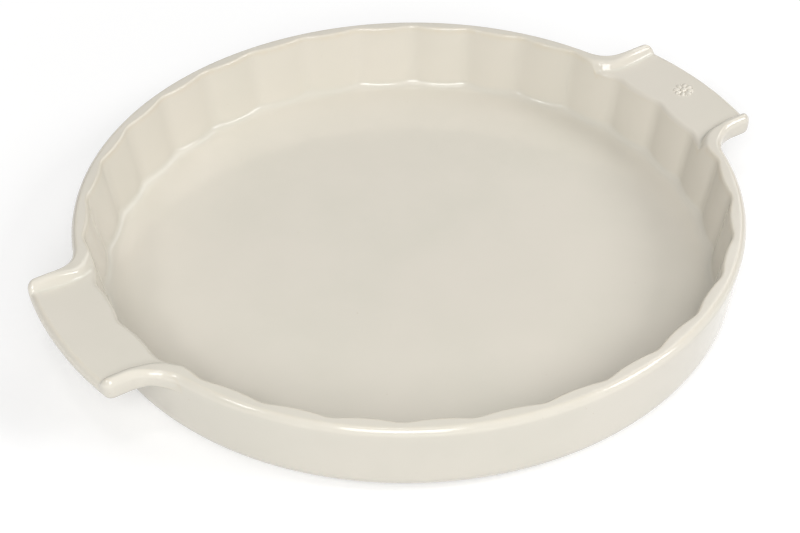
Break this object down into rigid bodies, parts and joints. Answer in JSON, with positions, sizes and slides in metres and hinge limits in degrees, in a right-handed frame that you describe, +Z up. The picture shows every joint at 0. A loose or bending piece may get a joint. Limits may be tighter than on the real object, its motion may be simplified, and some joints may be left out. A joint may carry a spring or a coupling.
{
  "type": "pie dish",
  "caption": "Round shallow ovenproof dish with a fluted inner wall, a flat floor and two open side handles.",
  "frame": {"origin": "middle of the surface that the foot ring stands on", "axes": "+Z up out of the dish, X through the middle of both handles"},
  "size_m": [0.3442, 0.3002, 0.0395],
  "materials": {
    "glaze": "gloss",
    "bare_stoneware": "matte"
  },
  "bodies": {
    "root": {"basin": "glaze", "handle_left": "glaze", "handle_right": "glaze", "sprig_rosette": "glaze", "foot_ring": "bare_stoneware"}
  },
  "joints": []
}
